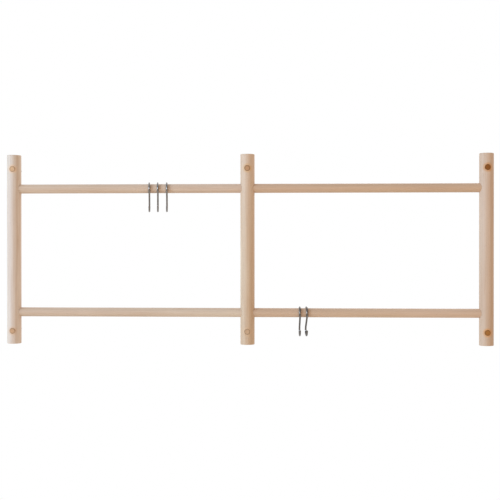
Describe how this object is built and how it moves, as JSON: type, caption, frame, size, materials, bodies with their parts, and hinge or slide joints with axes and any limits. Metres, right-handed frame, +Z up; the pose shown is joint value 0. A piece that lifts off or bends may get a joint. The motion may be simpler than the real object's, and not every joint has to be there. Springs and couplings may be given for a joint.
{
  "type": "wall rack",
  "caption": "Wooden wall rack of round upright posts joined by round rails in two bays, with wire S-hooks on the rails and screws under wooden plugs.",
  "frame": {"origin": "on the wall plane, at the centre of the six wall screws, which is behind the middle post", "axes": "+X to the right as one faces the rack, along the rails; +Y into the wall, along the screws; +Z up, along the posts"},
  "size_m": [0.859, 0.0573, 0.335],
  "materials": {
    "post_wood": "fine sanded pale birch, matt oil",
    "rail_wood": "fine sanded pale birch, matt oil",
    "plug_wood": "sanded end grain, oiled",
    "plug_wood_dark": "sanded dark end grain, oiled",
    "screw_steel": "bright zinc plated",
    "hook_steel": "polished stainless steel wire"
  },
  "bodies": {
    "rack": {"post_left": "post_wood", "post_middle": "post_wood", "post_right": "post_wood", "rail_upper_left": "rail_wood", "rail_upper_right": "rail_wood", "rail_lower_left": "rail_wood", "rail_lower_right": "rail_wood", "cover_plug_upper_left": "plug_wood", "cover_plug_upper_middle": "plug_wood", "cover_plug_upper_right": "plug_wood_dark", "cover_plug_lower_left": "plug_wood", "cover_plug_lower_middle": "plug_wood", "cover_plug_lower_right": "plug_wood_dark", "wall_screw_upper_left": "screw_steel", "wall_screw_upper_middle": "screw_steel", "wall_screw_upper_right": "screw_steel", "wall_screw_lower_left": "screw_steel", "wall_screw_lower_middle": "screw_steel", "wall_screw_lower_right": "screw_steel"},
    "hook_upper_1": {"hook_upper_1": "hook_steel"},
    "hook_upper_2": {"hook_upper_2": "hook_steel"},
    "hook_upper_3": {"hook_upper_3": "hook_steel"},
    "hook_lower_1": {"hook_lower_1": "hook_steel"},
    "hook_lower_2": {"hook_lower_2": "hook_steel"}
  },
  "joints": [
    {"name": "hook_upper_1_swing", "type": "hinge", "parent": "rack", "child": "hook_upper_1", "pos_m": [-0.1741, -0.0125, 0.1085], "axis": [-1, 0, 0], "range_deg": [-0.5, 90]},
    {"name": "hook_upper_2_swing", "type": "hinge", "parent": "rack", "child": "hook_upper_2", "pos_m": [-0.159, -0.0125, 0.1085], "axis": [-1, 0, 0], "range_deg": [-0.5, 90]},
    {"name": "hook_upper_3_swing", "type": "hinge", "parent": "rack", "child": "hook_upper_3", "pos_m": [-0.1429, -0.0125, 0.1085], "axis": [-1, 0, 0], "range_deg": [-0.5, 90]},
    {"name": "hook_lower_1_swing", "type": "hinge", "parent": "rack", "child": "hook_lower_1", "pos_m": [0.0922, -0.0125, -0.1105], "axis": [-1, 0, 0], "range_deg": [-0.5, 90]},
    {"name": "hook_lower_2_swing", "type": "hinge", "parent": "rack", "child": "hook_lower_2", "pos_m": [0.1039, -0.0125, -0.1105], "axis": [-1, 0, 0], "range_deg": [-0.5, 90]}
  ]
}
